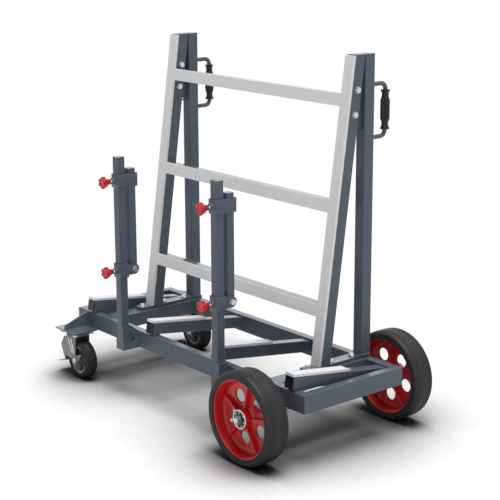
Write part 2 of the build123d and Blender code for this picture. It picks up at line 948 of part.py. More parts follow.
def caster_brackets():
    """Plate with one triangular gusset on the outer side of each long rail"""
    with BuildPart() as brackets:
        for side in (-1, 1):
            rail_face = side * frame_width / 2
            edge = rail_face + side * bracket_depth
            with BuildSketch(Plane.XY.offset(rail_bottom)):
                with Locations((bracket_middle, (rail_face + edge) / 2)):
                    Rectangle(bracket_length, bracket_depth)
                    with GridLocations(caster_bolt_length_pitch, caster_bolt_depth_pitch, 2, 2):
                        Circle(bolt_hole_radius, mode=Mode.SUBTRACT)
            extrude(amount=bracket_thickness)
            plate_top = rail_bottom + bracket_thickness
            with BuildSketch(crosswise(bracket_middle - bracket_gusset_thickness / 2, 0, 0)):
                with BuildLine():
                    Polyline(
                        (edge, plate_top),
                        (rail_face, plate_top),
                        (rail_face, rail_top),
                        (edge, plate_top + bracket_gusset_lip),
                        close=True,
                    )
                make_face()
            extrude(amount=bracket_gusset_thickness)
    return brackets.part


def caster_frame(side):
    """Plane on the floor under a caster's kingpin, turned to its trail"""
    yaw = math.radians(caster_yaw)
    y = side * (frame_width + bracket_depth) / 2
    return Plane(origin=(bracket_middle, y, 0), x_dir=(math.cos(yaw), math.sin(yaw), 0), z_dir=(0, 0, 1))


def caster_side(side, offset):
    """Upright plane along a caster's trail, a given distance off its middle"""
    frame = caster_frame(side)
    return Plane(origin=frame.origin + frame.y_dir * offset, x_dir=frame.x_dir, z_dir=-frame.y_dir)


def caster_top_plates():
    """Bolted plate, upper race and kingpin of each caster"""
    plate_bottom = rail_bottom - top_plate_thickness
    race_bottom = plate_bottom - race_height
    head_top = crown_top - crown_thickness - sliding_clearance
    with BuildPart() as plates:
        for side in (-1, 1):
            y = side * (frame_width + bracket_depth) / 2
            with BuildSketch(Plane(origin=(bracket_middle, y, plate_bottom))):
                Rectangle(top_plate_length, top_plate_depth)
                with GridLocations(caster_bolt_length_pitch, caster_bolt_depth_pitch, 2, 2):
                    Circle(bolt_hole_radius, mode=Mode.SUBTRACT)
            extrude(amount=top_plate_thickness)
            with BuildSketch(Plane(origin=(bracket_middle, y, race_bottom))):
                Circle(race_diameter / 2)
            extrude(amount=race_height)
            with BuildSketch(Plane(origin=(bracket_middle, y, head_top))):
                Circle(kingpin_diameter / 2)
            extrude(amount=race_bottom - head_top)
            with BuildSketch(Plane(origin=(bracket_middle, y, head_top - kingpin_head_height))):
                Circle(kingpin_head_diameter / 2)
            extrude(amount=kingpin_head_height)
    return plates.part


def caster_fork(side):
    """Crown with two V-ended legs, whose cheeks reach forward to the pedal's pin"""
    frame = caster_frame(side)
    crown_bottom = crown_top - crown_thickness
    wheel_z = caster_diameter / 2
    leg_end = (leg_notch, leg_ear, leg_tip, leg_heel)
    corners = [(caster_trail + lead, wheel_z + rise) for lead, rise in leg_end]
    cheek = [(-lead, height) for lead, height in leg_cheek]
    lug = pedal_lug_diameter / 2
    outer = leg_inner + leg_thickness
    with BuildPart() as fork:
        with BuildSketch(frame.offset(crown_bottom)):
            Circle(crown_diameter / 2)
            with Locations(((leg_back - leg_front) / 2, 0)):
                Rectangle(leg_back + leg_front, 2 * outer)
            Circle(kingpin_diameter / 2 + running_clearance, mode=Mode.SUBTRACT)
        extrude(amount=crown_thickness)
        for offset in (outer, -leg_inner):
            with BuildSketch(caster_side(side, offset)):
                with BuildLine():
                    Polyline((-leg_front, crown_bottom), (leg_back, crown_bottom), *corners, close=True)
                make_face()
                with BuildLine():
                    Polyline(
                        (-pedal_pin_lead, pedal_pin_height + lug),
                        (leg_back, crown_bottom),
                        corners[-1],
                        *cheek,
                        (-pedal_pin_lead - lug, pedal_pin_height),
                        close=True,
                    )
                make_face()
                with Locations((-pedal_pin_lead, pedal_pin_height)):
                    Circle(lug)
                    Circle(pedal_pin_diameter / 2 + running_clearance, mode=Mode.SUBTRACT)
                with Locations((caster_trail, wheel_z)):
                    Circle(caster_axle_diameter / 2 + running_clearance, mode=Mode.SUBTRACT)
            extrude(amount=leg_thickness)
    return fork.part


def caster_axle(side):
    """Bolt through the fork's legs and the caster wheel"""
    outer = leg_inner + leg_thickness
    place = caster_side(side, -outer)
    centre = place.origin + place.x_dir * caster_trail + place.y_dir * caster_diameter / 2
    hexagon = bolt_hexagon_width / math.sqrt(3)
    head = Plane(origin=centre, x_dir=place.x_dir, z_dir=place.z_dir)
    with BuildPart() as bolt:
        with BuildSketch(head.offset(-2 * outer)):
            Circle(caster_axle_diameter / 2)
        extrude(amount=2 * outer)
        with BuildSketch(head, head.offset(-2 * outer - bolt_head_height)):
            RegularPolygon(hexagon, 6)
        extrude(amount=bolt_head_height)
    return bolt.part


def caster_wheel_plane(side):
    """Plane through a caster wheel's axle, with the axle to its right and +Z up"""
    frame = caster_frame(side)
    centre = frame.origin + frame.x_dir * caster_trail + frame.z_dir * caster_diameter / 2
    return Plane(origin=centre, x_dir=frame.y_dir, z_dir=frame.x_dir)


def caster_core(side):
    """Wheel centre with a hub, a web and a band under the tread"""
    outer = caster_core_diameter / 2
    inner = outer - caster_band_thickness
    hub = caster_hub_diameter / 2
    bore = caster_axle_diameter / 2 + running_clearance
    place = caster_wheel_plane(side)
    with BuildPart() as core:
        with BuildSketch(place):
            with Locations((0, (outer + inner) / 2)):
                Rectangle(caster_band_width, caster_band_thickness)
            with Locations((0, (inner + hub) / 2)):
                Rectangle(caster_web_thickness, inner - hub + caster_band_thickness)
            with Locations((0, (hub + bore) / 2)):
                Rectangle(2 * (leg_inner - side_play), hub - bore)
        revolve(axis=Axis(place.origin, place.x_dir))
    return core.part


def caster_tread(side):
    """Rubber tread of a caster wheel"""
    depth = (caster_diameter - caster_core_diameter) / 2
    place = caster_wheel_plane(side)
    with BuildPart() as tread:
        with BuildSketch(place) as section:
            with Locations((0, caster_core_diameter / 2 + depth / 2)):
                Rectangle(caster_width, depth)
            fillet(section.vertices().group_by(Axis.Y)[-1], caster_tread_edge)
        revolve(axis=Axis(place.origin, place.x_dir))
    return tread.part


def brake_pedal(side):
    """Bent plate on a pin in the fork's lugs, with a tread that the foot presses"""
    width = 2 * (leg_inner - side_play)
    pin_length = 2 * (leg_inner + leg_thickness)
    pin = (-pedal_pin_lead, pedal_pin_height)
    bends = [(-lead, height) for lead, height in (pedal_elbow, pedal_knee, pedal_tip)]
    with BuildPart() as pedal:
        with BuildSketch(caster_side(side, width / 2)):
            with BuildLine():
                Polyline(pin, *bends)
            trace(line_width=pedal_thickness)
            with Locations(pin):
                Circle(pedal_eye_diameter / 2)
        extrude(amount=width)
        with BuildSketch(caster_side(side, pin_length / 2)):
            with Locations(pin):
                Circle(pedal_pin_diameter / 2)
        extrude(amount=pin_length)
    return pedal.part


pieces = {
    "front_rail": long_rail(-1),
    "back_rail": long_rail(1),
    "left_end_rail": end_rail(rail_left, -1),
    "right_end_rail": end_rail(rail_right, 1),
    "cross_members": cross_members(),
    "foot_bars": foot_bars(),
    "arm_rubbers": arm_rubbers(),
    "arm_end_caps": arm_end_caps(),
    "arm_rests": arm_rests(),
    "upright_facings": upright_facings(),
    "rungs": rung_bars(facing_thickness, upright_depth, True),
    "rung_facings": rung_bars(0, facing_thickness, False),
    "gusset_plates": gusset_plates(),
    "top_caps": top_caps(),
    "handles": handles(),
    "grips": grips(),
    "frame_bolts": frame_bolts(),
    "post_foot_plates": foot_plates(),
    "post_caps": post_caps(),
    "axle": axle(),
    "axle_brackets": axle_brackets(),
    "axle_nuts": axle_nuts(),
    "caster_brackets": caster_brackets(),
    "caster_top_plates": caster_top_plates(),
}
for index in range(arm_count):
    pieces[f"support_arm_{index + 1}"] = support_arm(index)
for name, right, middle in zip(("left", "right"), upright_rights, post_middles):
    pieces[f"{name}_upright"] = upright(right)
    pieces[f"{name}_strut"] = strut(right)
    pieces[f"{name}_post"] = post(middle)
    pieces[f"{name}_upper_collar"] = upper_collar(middle)
    pieces[f"{name}_lower_collar"] = lower_collar(middle)
    pieces[f"{name}_swing_tube"] = swing_tube(middle)
    pieces[f"{name}_pivot_bolt"] = pivot_bolt(middle)
    pieces[f"{name}_upper_knob"] = star_knob(middle, upper_collar_middle)
    pieces[f"{name}_lower_knob"] = star_knob(middle, pivot_height)
for name, side, turn in (("front", -1, front_wheel_turn), ("back", 1, back_wheel_turn)):
    pieces[f"{name}_tyre"] = tyre(side)
    pieces[f"{name}_rim"] = rim(side, turn)
    pieces[f"{name}_caster_fork"] = caster_fork(side)
    pieces[f"{name}_caster_axle"] = caster_axle(side)
    pieces[f"{name}_caster_core"] = caster_core(side)
    pieces[f"{name}_caster_tread"] = caster_tread(side)
    pieces[f"{name}_brake_pedal"] = brake_pedal(side)

os.makedirs("parts", exist_ok=True)
for name, piece in pieces.items():
    piece.label = name
    export_step(piece, f"parts/{name}.step")
print(len(pieces), "pieces written")
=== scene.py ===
import json
import math

import bmesh
import bpy
from mathutils import Matrix, Vector

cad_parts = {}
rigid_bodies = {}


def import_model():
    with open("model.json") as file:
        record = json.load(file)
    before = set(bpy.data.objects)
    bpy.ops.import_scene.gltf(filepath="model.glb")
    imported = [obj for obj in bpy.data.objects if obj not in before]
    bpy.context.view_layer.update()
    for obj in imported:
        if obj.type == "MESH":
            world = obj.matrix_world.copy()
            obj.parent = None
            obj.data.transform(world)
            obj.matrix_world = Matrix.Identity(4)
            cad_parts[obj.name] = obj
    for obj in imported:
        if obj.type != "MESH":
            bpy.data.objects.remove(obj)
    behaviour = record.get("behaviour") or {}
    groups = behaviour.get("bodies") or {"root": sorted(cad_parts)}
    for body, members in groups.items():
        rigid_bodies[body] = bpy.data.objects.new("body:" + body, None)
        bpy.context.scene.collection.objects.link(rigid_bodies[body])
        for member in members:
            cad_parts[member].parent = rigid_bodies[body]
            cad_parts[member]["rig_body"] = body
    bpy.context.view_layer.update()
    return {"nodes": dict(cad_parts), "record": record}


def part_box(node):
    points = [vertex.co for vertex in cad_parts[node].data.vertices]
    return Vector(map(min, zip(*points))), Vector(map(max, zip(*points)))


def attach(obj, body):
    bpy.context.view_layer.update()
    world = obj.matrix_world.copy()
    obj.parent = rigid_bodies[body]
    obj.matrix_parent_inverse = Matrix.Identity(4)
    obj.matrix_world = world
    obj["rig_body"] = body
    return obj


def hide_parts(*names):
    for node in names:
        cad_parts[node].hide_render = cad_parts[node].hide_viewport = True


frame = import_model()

# Camera, solved from the photograph
camera_place = (3.57726, -2.85157, 1.68669)
camera_heading = 50.446
camera_pitch = 14.191
camera_roll = -0.244
camera_focal = 100.566
sensor_width = 36.0

# Light and floor
# The floor's colour is darkened near the object by ambient occlusion, a painted shade that deepens its
# shadow: reach in metres, a power, and the open floor's value
sky_strength = 0.02
key_strength = 3.06
key_direction = (0.14, 0.05, 1.0)
key_softness = 38.0
fill_strength = 0.76
fill_direction = (0.78, -1.0, 0.06)
fill_softness = 80.0
floor_reach = 40.0
floor_white = 1.0
floor_roughness = 0.9
floor_gloss = 0.1
painted_shade_reach = 0.44
painted_shade_depth = 2.6
painted_shade_open = 0.84

# Colours, as seen on a screen, and the casters' duller share of the zinc colour
paint_colour = (82, 94, 105)
facing_colour = (235, 235, 236)
cap_colour = (11, 12, 13)
grip_colour = (7, 7, 8)
zinc_colour = (196, 198, 202)
tyre_colour = (34, 34, 35)
rim_colour = (194, 30, 30)
knob_colour = (194, 25, 28)
core_colour = (84, 85, 87)
core_ring_colour = (176, 178, 180)
tread_colour = (20, 20, 21)
seal_colour = (20, 20, 21)
caster_zinc_share = 0.62

# Finishes, by patches of noise and a finer grain
ramp_ends = (0.3, 0.7)
patch_detail = 4.0
patch_roughness = 0.6
grain_detail = 2.0
grain_strength = 0.35
glare_start = 0.45
glare_full = 0.86

# Meshes: how near two points are one, in metres, and angles of edges, in degrees
same_point = 1e-6
same_corner = 1e-5
flat_angle = 0.5
rounded_angle = 35.0
smooth_angle = 32.0
softened_smooth_angle = 28.0
rubber_smooth_angle = 24.0
knob_smooth_angle = 50.0
grip_smooth_angle = 40.0

# Large wheels: profile points are the way along the axle and the radius, in metres
tyre_side = [
    (0.0365, 0.1240), (0.0400, 0.1245), (0.0414, 0.1268), (0.0414, 0.1310), (0.0398, 0.1325),
    (0.0398, 0.1348), (0.0412, 0.1364), (0.0412, 0.1395), (0.0400, 0.1430), (0.0378, 0.1460),
    (0.0345, 0.1481), (0.0306, 0.1490), (0.0296, 0.1478), (0.0276, 0.1478), (0.0264, 0.1493),
    (0.0196, 0.1497), (0.0186, 0.1486), (0.0166, 0.1486), (0.0156, 0.1499),
]
rim_side = [
    (0.0364, 0.1240), (0.0364, 0.1222), (0.0356, 0.1208), (0.0338, 0.1198), (0.0068, 0.1182),
    (0.0032, 0.1176), (0.0016, 0.1160), (0.0016, 0.1140), (0.0036, 0.1124), (0.0054, 0.1108),
    (0.0054, 0.1090), (0.0036, 0.1070), (0.0030, 0.1040), (0.0030, 0.0420), (0.0046, 0.0375),
    (0.0090, 0.0338), (0.0320, 0.0308), (0.0335, 0.0300), (0.0335, 0.0081),
]
rim_holes = 5
rim_hole_circle = 0.070
rim_hole_radius = 0.023
rim_hole_lip = 0.0022
rim_lip_reach = 0.0036
rim_lip_points = 10
rim_cut_reach = 0.012
rim_turns = {"front": 46.0, "back": 52.0}
rim_rib_width = 0.005
rim_rib_root = 0.029
rim_rib_end = 0.1185
rim_rib_heights = (0.020, 0.014)
rib_edge_share = 0.22
bearing_rings = [
    (-0.0040, 0.0262), (0.0002, 0.0262), (0.0010, 0.0270), (0.0010, 0.0298), (0.0000, 0.0308),
    (-0.0040, 0.0308),
]
seal_rings = [
    (-0.0030, 0.0105), (0.0002, 0.0105), (0.0003, 0.0140), (0.0001, 0.0262), (-0.0030, 0.0262),
]
bearing_rollers = 7
roller_circle = 0.02185
roller_radius = 0.0026
roller_rings = [(-0.0020, 1.0), (0.0003, 1.0), (0.0008, 0.7)]
fitting_turn = 200.0
fitting_reach = 0.0255
fitting_root = 0.0295
fitting_rings = [
    (0.0000, 0.0068), (0.0070, 0.0068), (0.0074, 0.0088), (0.0138, 0.0092), (0.0166, 0.0078),
    (0.0180, 0.0046),
]

# Casters: the shoulder's points go in from the tread's side, fork ribs are (lead, height) pairs
caster_yaw = -1.0
caster_shoulder = [
    (0.0000, 0.0500), (0.0000, 0.0600), (0.0012, 0.0632), (0.0040, 0.0668), (0.0075, 0.0690),
]
caster_rib_count = 9
caster_rib_inset = 0.0085
caster_rib_crown = 0.0002
caster_rib_depth = 0.0008
caster_rib_step = 0.0006
caster_rib_middle = 0.0004
core_ring_side = [
    (0.0185, 0.0500), (0.0192, 0.0492), (0.0192, 0.0443), (0.0184, 0.0435), (0.0110, 0.0423),
]
core_side = [
    (0.0120, 0.0440), (0.0080, 0.0410), (0.0050, 0.0360), (0.0050, 0.0240), (0.0090, 0.0190),
    (0.0200, 0.0172), (0.0228, 0.0160), (0.0228, 0.0061),
]
core_ribs = 6
core_rib_root = 0.016
core_rib_end = 0.0445
core_rib_width = 0.006
core_rib_heights = (0.0150, 0.0130)
caster_trail = 0.035
fork_face = 0.0304
fork_rib_radius = 0.0022
fork_rib_tip_share = 0.3
fork_ribs = (((-0.012, 0.146), (0.014, 0.092)), ((0.008, 0.146), (0.026, 0.090)))

# Star knobs: along, radius and share of the lobe's height, then the stud and its thread
knob_lobes = 6
knob_lobe_height = 0.0030
knob_rings = [
    (0.0022, 0.0040, 0.0), (0.0018, 0.0090, 0.0), (0.0006, 0.0118, 0.2), (0.0002, 0.0140, 0.5),
    (0.0006, 0.0160, 0.8), (0.0022, 0.0176, 1.0), (0.0050, 0.0180, 1.0), (0.0110, 0.0180, 1.0),
    (0.0138, 0.0176, 1.0), (0.0158, 0.0162, 0.8), (0.0172, 0.0142, 0.3), (0.0200, 0.0126, 0.0),
    (0.0260, 0.0106, 0.0), (0.0330, 0.0090, 0.0), (0.0352, 0.0086, 0.0), (0.0360, 0.0078, 0.0),
]
stud_root = 0.0340
thread_start = 0.0362
thread_pitch = 0.0015
thread_crest = 0.0049
thread_valley = 0.0044
thread_run_out = 0.0010
stud_tip = [(0.0006, 0.0046), (0.0001, 0.0040)]

# Grips: along from the end, share of the radius and share of the rib's height
grip_ribs = 18
grip_rib_height = 0.0008
grip_end = [
    (0.0000, 0.52, 0.0), (0.0000, 0.97, 0.0), (0.0010, 1.00, 0.0), (0.0030, 0.985, 0.0),
    (0.0062, 0.86, 0.0), (0.0100, 0.76, 0.0), (0.0150, 0.72, 0.0), (0.0230, 0.74, 0.3),
    (0.0280, 0.82, 0.7), (0.0315, 0.90, 1.0), (0.0350, 0.93, 1.0),
]
grip_waist = (0.93, 1.0)

# Rounded edges of CAD nodes that are copied
edge_widths = {
    "caster_fork": 0.0014, "caster_axle": 0.0008, "brake_pedal": 0.0009, "collar": 0.0009,
    "pivot_bolt": 0.0008, "frame_bolts": 0.0007, "axle_nuts": 0.0008, "caster_brackets": 0.0010,
    "caster_top_plates": 0.0007, "post_foot_plates": 0.0010, "gusset_plates": 0.0008,
    "top_caps": 0.0007, "foot_bars": 0.0012,
}

# Welds
support_arms = 4
cross_member_width = 0.060
weld_inset = 0.004
arm_weld_inset = 0.006
arm_weld_top = 0.036
weld_radius = 0.0028
weld_ripple = 0.0044
weld_swell = 0.14
weld_steps = 4
weld_ripples_least = 4


def linear(colour):
    """Screen colour turned into the linear values that shaders use"""
    values = []
    for channel in colour:
        value = channel / 255
        values.append(value / 12.92 if value <= 0.04045 else ((value + 0.055) / 1.055) ** 2.4)
    return (*values, 1.0)


def shaded(colour, share):
    """The same screen colour, lighter or darker"""
    return tuple(min(255, channel * share) for channel in colour)


def add_node(mat, kind, **inputs):
    """Shader node with its inputs set by name"""
    node = mat.node_tree.nodes.new(kind)
    for key, value in inputs.items():
        node.inputs[key.replace("_", " ")].default_value = value
    return node


def finish_material(name, colour, roughness, metallic=0.0, spread=0.06, patch=14.0, grain=700.0,
                    depth=0.00012, coat=0.0, coat_roughness=0.15, worn=0.06, level=0.5, glare=0.0):
    """Material with mottled colour, uneven gloss and a fine grain, all by noise

    Where glare is given, a coat with that refraction shows at grazing angles only.
    """
    mat = bpy.data.materials.new(name)
    mat.use_nodes = True
    link = mat.node_tree.links.new
    shader = mat.node_tree.nodes["Principled BSDF"]
    shader.inputs["Metallic"].default_value = metallic
    shader.inputs["Coat Weight"].default_value = coat
    shader.inputs["Coat Roughness"].default_value = coat_roughness
    shader.inputs["Specular IOR Level"].default_value = level
    if glare:
        grazing = add_node(mat, "ShaderNodeLayerWeight", Blend=0.5)
        amount = add_node(mat, "ShaderNodeMapRange")
        amount.inputs["From Min"].default_value = glare_start
        amount.inputs["From Max"].default_value = glare_full
        link(grazing.outputs["Facing"], amount.inputs["Value"])
        link(amount.outputs["Result"], shader.inputs["Coat Weight"])
        shader.inputs["Coat IOR"].default_value = glare
    place = add_node(mat, "ShaderNodeTexCoord")
    patches = add_node(mat, "ShaderNodeTexNoise", Scale=patch, Detail=patch_detail,
                       Roughness=patch_roughness)
    link(place.outputs["Object"], patches.inputs["Vector"])
    ramp = add_node(mat, "ShaderNodeValToRGB")
    for end, position, share in zip(ramp.color_ramp.elements, ramp_ends, (1 - spread, 1 + spread)):
        end.position = position
        end.color = linear(shaded(colour, share))
    link(patches.outputs["Fac"], ramp.inputs["Fac"])
    link(ramp.outputs["Color"], shader.inputs["Base Color"])
    gloss = add_node(mat, "ShaderNodeMapRange")
    gloss.inputs["To Min"].default_value = roughness - worn
    gloss.inputs["To Max"].default_value = roughness + worn
    link(patches.outputs["Fac"], gloss.inputs["Value"])
    link(gloss.outputs["Result"], shader.inputs["Roughness"])
    fine = add_node(mat, "ShaderNodeTexNoise", Scale=grain, Detail=grain_detail)
    link(place.outputs["Object"], fine.inputs["Vector"])
    bump = add_node(mat, "ShaderNodeBump", Strength=grain_strength, Distance=depth)
    link(fine.outputs["Fac"], bump.inputs["Height"])
    link(bump.outputs["Normal"], shader.inputs["Normal"])
    return mat


def show(name, mesh, mat, body, angle=smooth_angle):
    """Object for a finished mesh, shaded smooth up to an angle, that rides on a body"""
    mesh.shade_smooth()
    mesh.set_sharp_from_angle(angle=math.radians(angle))
    piece = bpy.data.objects.new(name, mesh)
    bpy.context.scene.collection.objects.link(piece)
    mesh.materials.clear()
    mesh.materials.append(mat)
    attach(piece, body)
    return piece


def mesh_from(bm, name):
    """Mesh datablock from a bmesh, with its faces turned outwards"""
    bmesh.ops.remove_doubles(bm, verts=bm.verts, dist=same_point)
    bmesh.ops.recalc_face_normals(bm, faces=bm.faces)
    mesh = bpy.data.meshes.new(name)
    bm.to_mesh(mesh)
    bm.free()
    return mesh


def axis_matrix(origin, axis):
    """Matrix that takes local Z to an axis through a point"""
    turn = Vector(axis).to_track_quat("Z", "X").to_matrix().to_4x4()
    return Matrix.Translation(Vector(origin)) @ turn


def turned(bm, rings, place, segments=96, lobes=0, closed=False):
    """Adds a turned shape: rings are (along, radius) or (along, radius, lobe height)

    A closed one joins its last ring to its first, and any other has flat ends.
    """
    grid = []
    for ring in rings:
        along, radius = ring[0], ring[1]
        lobe = ring[2] if len(ring) > 2 else 0.0
        row = []
        for index in range(segments):
            turn = 2 * math.pi * index / segments
            reach = radius + lobe * math.cos(lobes * turn)
            point = Vector((reach * math.cos(turn), reach * math.sin(turn), along))
            row.append(bm.verts.new(place @ point))
        grid.append(row)
    pairs = list(zip(grid, grid[1:]))
    if closed:
        pairs.append((grid[-1], grid[0]))
    for low, high in pairs:
        for index in range(segments):
            after = (index + 1) % segments
            bm.faces.new((low[index], low[after], high[after], high[index]))
    if not closed:
        bm.faces.new(list(reversed(grid[0])))
        bm.faces.new(grid[-1])


def both_sides(side):
    """Closed profile from one side's points, mirrored to the other"""
    return list(side) + [(-along, radius) for along, radius in reversed(side)]


def node_middle(node):
    """Middle of a CAD node's box"""
    low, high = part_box(node)
    return (low + high) / 2


def body_of(node):
    """Name of the body that a CAD node belongs to"""
    return frame["nodes"][node]["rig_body"]


def softened(node, width, mat, segments=2):
    """Copy of a CAD node with rounded edges, which stands for it"""
    bm = bmesh.new()
    bm.from_mesh(frame["nodes"][node].data)
    bmesh.ops.remove_doubles(bm, verts=bm.verts, dist=same_corner)
    bmesh.ops.dissolve_limit(bm, angle_limit=math.radians(flat_angle), verts=bm.verts, edges=bm.edges)
    limit = math.radians(rounded_angle)
    sharp = [edge for edge in bm.edges if edge.is_manifold and edge.calc_face_angle() > limit]
    bmesh.ops.bevel(bm, geom=sharp, offset=width, segments=segments, profile=0.5, affect="EDGES",
                    clamp_overlap=True)
    mesh = bpy.data.meshes.new(node + "_soft")
    bm.to_mesh(mesh)
    bm.free()
    piece = show(node + "_soft", mesh, mat, body_of(node), angle=softened_smooth_angle)
    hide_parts(node)


def large_tyre(name):
    """Tyre with a bead, a grooved side and two grooves near each edge of its tread"""
    place = axis_matrix(node_middle(name + "_tyre"), (0, 1, 0))
    bm = bmesh.new()
    turned(bm, both_sides(tyre_side), place, segments=160, closed=True)
    label = name + "_tyre_skin"
    piece = show(label, mesh_from(bm, label), tyre_rubber, name + "_wheel",
                 angle=rubber_smooth_angle)
    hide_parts(name + "_tyre")


def rib(bm, place, length_from, length_to, width, heights):
    """Adds a rib that stands out from a disc on both sides and tapers outwards"""
    half = width / 2
    edge = width * rib_edge_share
    sections = []
    for along, height in ((length_from, heights[0]), (length_to, heights[1])):
        corners = []
        for across, up in ((-half, -height + edge), (-half + edge, -height), (half - edge, -height),
                           (half, -height + edge), (half, height - edge), (half - edge, height),
                           (-half + edge, height), (-half, height - edge)):
            corners.append(bm.verts.new(place @ Vector((along, across, up))))
        sections.append(corners)
    low, high = sections
    for index in range(len(low)):
        after = (index + 1) % len(low)
        bm.faces.new((low[index], low[after], high[after], high[index]))
    bm.faces.new(list(reversed(low)))
    bm.faces.new(high)


def cut(piece, cutter_mesh):
    """Cuts one mesh out of a piece for good"""
    cutter = bpy.data.objects.new("cutter", cutter_mesh)
    bpy.context.scene.collection.objects.link(cutter)
    boolean = piece.modifiers.new("cut", "BOOLEAN")
    boolean.operation = "DIFFERENCE"
    boolean.solver = "EXACT"
    boolean.object = cutter
    bpy.context.view_layer.update()
    shape = piece.evaluated_get(bpy.context.evaluated_depsgraph_get())
    mesh = bpy.data.meshes.new_from_object(shape)
    piece.modifiers.clear()
    piece.data = mesh
    bpy.data.objects.remove(cutter)


def large_rim(name):
    """Deep rim with a disc, five lipped holes, ribs between them and a hub"""
    middle = node_middle(name + "_rim")
    place = Matrix.Translation(middle) @ Matrix.Rotation(math.radians(90), 4, "X")
    bm = bmesh.new()
    turned(bm, both_sides(rim_side), place, segments=120, closed=True)
    disc = bpy.data.objects.new("disc", mesh_from(bm, "disc"))
    bpy.context.scene.collection.objects.link(disc)
    first = math.radians(rim_turns[name])
    step = 2 * math.pi / rim_holes
    turns = [first + index * step for index in range(rim_holes)]
    spots = []
    for turn in turns:
        hole = Vector((rim_hole_circle * math.cos(turn), rim_hole_circle * math.sin(turn), 0))
        spots.append(place @ Matrix.Translation(hole))
    bm = bmesh.new()
    for spot in spots:
        turned(bm, [(-rim_cut_reach, rim_hole_radius), (rim_cut_reach, rim_hole_radius)], spot,
               segments=48)
    cut(disc, mesh_from(bm, "holes"))
    bm = bmesh.new()
    bm.from_mesh(disc.data)
    bpy.data.objects.remove(disc)
    lip = []
    for index in range(rim_lip_points):
        angle = 2 * math.pi * index / rim_lip_points
        lip.append((rim_lip_reach * math.cos(angle), rim_hole_radius + rim_hole_lip * math.sin(angle)))
    for turn, spot in zip(turns, spots):
        turned(bm, lip, spot, segments=48, closed=True)
        spoke = place @ Matrix.Rotation(turn + step / 2, 4, "Z")
        rib(bm, spoke, rim_rib_root, rim_rib_end, rim_rib_width, rim_rib_heights)
    label = name + "_rim_skin"
    piece = show(label, mesh_from(bm, label), rim_paint, name + "_wheel")
    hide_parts(name + "_rim")
    for way in (-1, 1):
        bearing(name, middle, way)


def bearing(name, middle, way):
    """Silver ring, black seal and rollers at one end of a large wheel's hub"""
    face = axis_matrix(middle, (0, way, 0))
    half = rim_side[-1][0]
    label = name + ("_outer" if way > 0 else "_inner")
    bm = bmesh.new()
    turned(bm, [(half + along, radius) for along, radius in bearing_rings], face, closed=True)
    rings = [(half + along, roller_radius * share) for along, share in roller_rings]
    for index in range(bearing_rollers):
        turn = 2 * math.pi * index / bearing_rollers
        spot = Matrix.Translation((roller_circle * math.cos(turn), roller_circle * math.sin(turn), 0))
        turned(bm, rings, face @ spot, segments=20)
    show(label + "_bearing", mesh_from(bm, label + "_bearing"), zinc, name + "_wheel")
    bm = bmesh.new()
    turned(bm, [(half + along, radius) for along, radius in seal_rings], face, closed=True)
    show(label + "_seal", mesh_from(bm, label + "_seal"), seal_rubber, name + "_wheel")


def caster_wheel(name):
    """Ribbed tread, and a core with a lighter ring, a web with pockets and a hub"""
    low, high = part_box(name + "_caster_tread")
    size = high - low
    turn = math.radians(caster_yaw)
    place = axis_matrix((low + high) / 2, (-math.sin(turn), math.cos(turn), 0))
    radius = size.z / 2
    half = size.y / 2 - radius * abs(math.sin(turn))
    side = [(half - inset, reach) for inset, reach in caster_shoulder]
    ribs_from = half - caster_rib_inset
    for index in range(caster_rib_count):
        along = ribs_from - 2 * ribs_from * index / (2 * caster_rib_count - 1)
        side += [(along, radius - caster_rib_crown),
                 (along - caster_rib_step, radius - caster_rib_depth)]
    side = [point for point in side if point[0] > caster_rib_middle]
    bm = bmesh.new()
    turned(bm, both_sides(side), place, segments=120, closed=True)
    label = name + "_tread_skin"
    tread = show(label, mesh_from(bm, label), caster_rubber, name + "_caster_wheel",
                 angle=rubber_smooth_angle)
    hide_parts(name + "_caster_tread")
    bm = bmesh.new()
    turned(bm, both_sides(core_ring_side), place, closed=True)
    label = name + "_core_ring"
    show(label, mesh_from(bm, label), core_ring, name + "_caster_wheel")
    bm = bmesh.new()
    turned(bm, both_sides(core_side), place, closed=True)
    for index in range(core_ribs):
        spoke = place @ Matrix.Rotation(2 * math.pi * index / core_ribs, 4, "Z")
        rib(bm, spoke, core_rib_root, core_rib_end, core_rib_width, core_rib_heights)
    label = name + "_core_skin"
    core = show(label, mesh_from(bm, label), core_plastic, name + "_caster_wheel")
    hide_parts(name + "_caster_core")


def caster_fork_ribs(name):
    """Pressed ribs on both outer faces of a caster's fork"""
    turn = math.radians(caster_yaw)
    centre = node_middle(name + "_caster_axle")
    forward = Vector((math.cos(turn), math.sin(turn), 0))
    across = Vector((-math.sin(turn), math.cos(turn), 0))
    radius = fork_rib_radius
    tip = radius * fork_rib_tip_share
    bm = bmesh.new()
    for way in (-1, 1):
        for ends in fork_ribs:
            points = []
            for lead, height in ends:
                spot = centre + forward * (lead - caster_trail) + across * way * fork_face
                points.append(Vector((spot.x, spot.y, height)))
            length = (points[1] - points[0]).length
            rings = [(0, tip), (radius, radius), (length - radius, radius), (length, tip)]
            turned(bm, rings, axis_matrix(points[0], points[1] - points[0]), segments=16)
    label = name + "_fork_ribs"
    show(label, mesh_from(bm, label), zinc, name + "_swivel")


def grease_fitting(name, side):
    """Capped grease fitting on the flank of a large wheel's hub"""
    turn = math.radians(fitting_turn)
    outward = Vector((math.cos(turn), 0, math.sin(turn)))
    base = node_middle(name + "_rim") + Vector((0, side * fitting_reach, 0)) + outward * fitting_root
    bm = bmesh.new()
    turned(bm, fitting_rings, axis_matrix(base, outward), segments=32)
    label = name + "_grease_fitting"
    show(label, mesh_from(bm, label), zinc, name + "_wheel")


